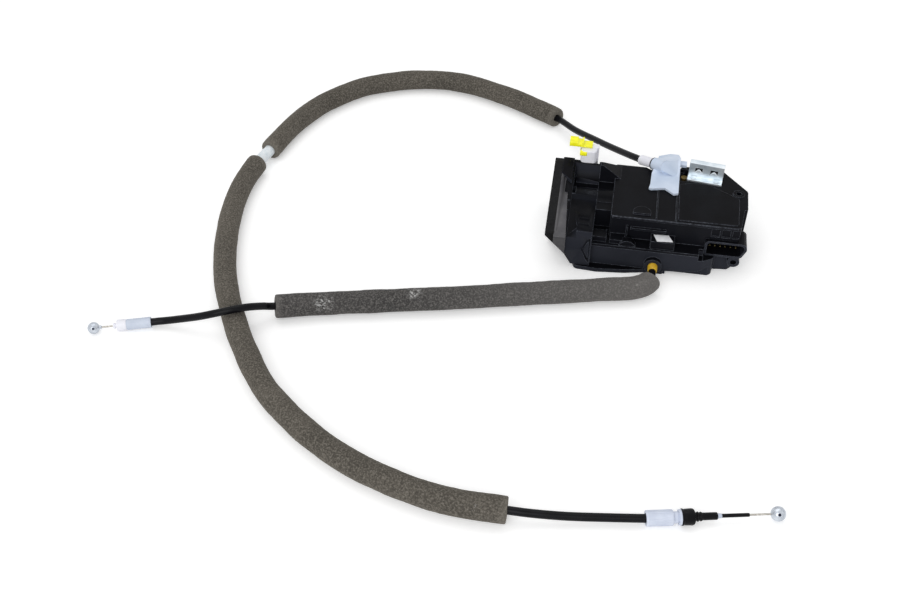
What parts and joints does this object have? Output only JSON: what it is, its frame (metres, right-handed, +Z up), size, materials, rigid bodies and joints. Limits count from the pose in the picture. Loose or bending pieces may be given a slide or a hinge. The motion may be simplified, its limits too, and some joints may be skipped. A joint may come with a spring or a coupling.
{
  "type": "car door lock",
  "caption": "Car door latch with moulded actuator case, striker slot, outside lever with rod clip, multi-pin socket and two foam-sleeved Bowden cables with ball ends.",
  "frame": {"origin": "under the middle of the lock without its cables, at the height of the surface it lies on", "axes": "+X from the latch face towards the connector, +Y from the front wall with the cable plug to the back with the bracket, +Z up from the bottom plate"},
  "size_m": [0.4395, 0.4425, 0.065],
  "materials": {
    "black_plastic": "moulded, fine grain",
    "white_plastic": "moulded",
    "grey_white_plastic": "moulded",
    "yellow_plastic": "moulded",
    "ochre_plastic": "moulded",
    "blue_plastic": "moulded",
    "conduit_plastic": "extruded",
    "foam": "open foam",
    "seal_rubber": "moulded",
    "plate_steel": "stamped",
    "catch_steel": "case hardened",
    "zinc_steel": "zinc plated",
    "spring_steel": "drawn wire",
    "zinc_wire": "zinc plated",
    "brass": "stamped",
    "white_paper": "blank label"
  },
  "bodies": {
    "lock_case": {"case_base": "black_plastic", "case_cover": "black_plastic", "cover_screws": "zinc_steel", "latch_case": "black_plastic", "latch_plate": "plate_steel", "face_seal": "seal_rubber", "rear_plate": "zinc_steel", "bump_stop": "seal_rubber", "fork_pin": "zinc_steel", "fork_spring": "spring_steel", "pawl_pin": "zinc_steel", "pawl_spring": "spring_steel", "lever_pin": "zinc_steel", "inside_lever_pin": "zinc_steel", "motor": "zinc_steel", "motor_cap": "white_plastic", "wheel_pin": "zinc_steel", "lock_switch": "black_plastic", "lead_frame": "brass", "connector_shroud": "black_plastic", "terminals": "brass", "cable_fitting": "blue_plastic", "fitting_washer": "seal_rubber", "mount_bracket": "zinc_steel", "bracket_rivets": "zinc_steel", "label": "white_paper", "cable_plug": "ochre_plastic", "conduit_a": "conduit_plastic", "foam_a": "foam", "ferrule_a": "grey_white_plastic", "collar_a": "white_plastic", "ferrule_b_case": "white_plastic", "conduit_b": "conduit_plastic", "foam_b_upper": "foam", "band_b": "white_plastic", "foam_b_lower": "foam", "ferrule_b": "white_plastic", "boot_b": "seal_rubber"},
    "fork": {"fork": "catch_steel"},
    "pawl": {"pawl": "catch_steel"},
    "outside_handle_lever": {"outside_lever": "white_plastic", "rod_clip": "yellow_plastic", "release_arm": "zinc_steel"},
    "inside_handle_lever": {"inside_lever": "zinc_steel", "nipple_a": "brass"},
    "worm_set": {"worm": "white_plastic", "worm_shaft": "spring_steel"},
    "lock_wheel": {"worm_wheel": "white_plastic", "lock_lever": "zinc_steel", "nipple_b": "brass"},
    "wire_a": {"wire_a": "zinc_wire"},
    "wire_b": {"wire_b": "zinc_wire"}
  },
  "joints": [
    {"name": "fork_swing", "type": "hinge", "parent": "lock_case", "child": "fork", "pos_m": [-0.0573, 0.011, 0.0215], "axis": [1, 0, 0], "range_deg": [-53, 0]},
    {"name": "outside_lever_swing", "type": "hinge", "parent": "lock_case", "child": "outside_handle_lever", "pos_m": [-0.04, -0.012, 0.0265], "axis": [1, 0, 0], "range_deg": [0, 12]},
    {"name": "pawl_swing", "type": "hinge", "parent": "lock_case", "child": "pawl", "pos_m": [-0.0573, -0.02, 0.0115], "axis": [1, 0, 0], "range_deg": [0, 12]},
    {"name": "inside_lever_swing", "type": "hinge", "parent": "lock_case", "child": "inside_handle_lever", "pos_m": [-0.008, -0.02, 0.0074], "axis": [0, 0, 1], "range_deg": [-24, 0]},
    {"name": "wire_a_slide", "type": "slide", "parent": "lock_case", "child": "wire_a", "axis": [-0.9474, -0.3201, 0], "range_m": [0, 0.0064]},
    {"name": "lock_swing", "type": "hinge", "parent": "lock_case", "child": "lock_wheel", "pos_m": [0.01, 0.012, 0.012], "axis": [0, 0, 1], "range_deg": [-35, 0]},
    {"name": "worm_spin", "type": "hinge", "parent": "lock_case", "child": "worm_set", "pos_m": [0.01, -0.007, 0.012], "axis": [1, 0, 0], "range_deg": [0, 1050]},
    {"name": "wire_b_slide", "type": "slide", "parent": "lock_case", "child": "wire_b", "axis": [0.9768, 0.2141, 0], "range_m": [-0.0127, 0]}
  ],
  "couplings": [
    {"joint": "pawl_swing", "follows": "outside_lever_swing", "ratio": 1},
    {"joint": "wire_a_slide", "follows": "inside_lever_swing", "m_per_rad": -0.015},
    {"joint": "worm_spin", "follows": "lock_swing", "ratio": -30},
    {"joint": "wire_b_slide", "follows": "lock_swing", "m_per_rad": 0.0206}
  ]
}
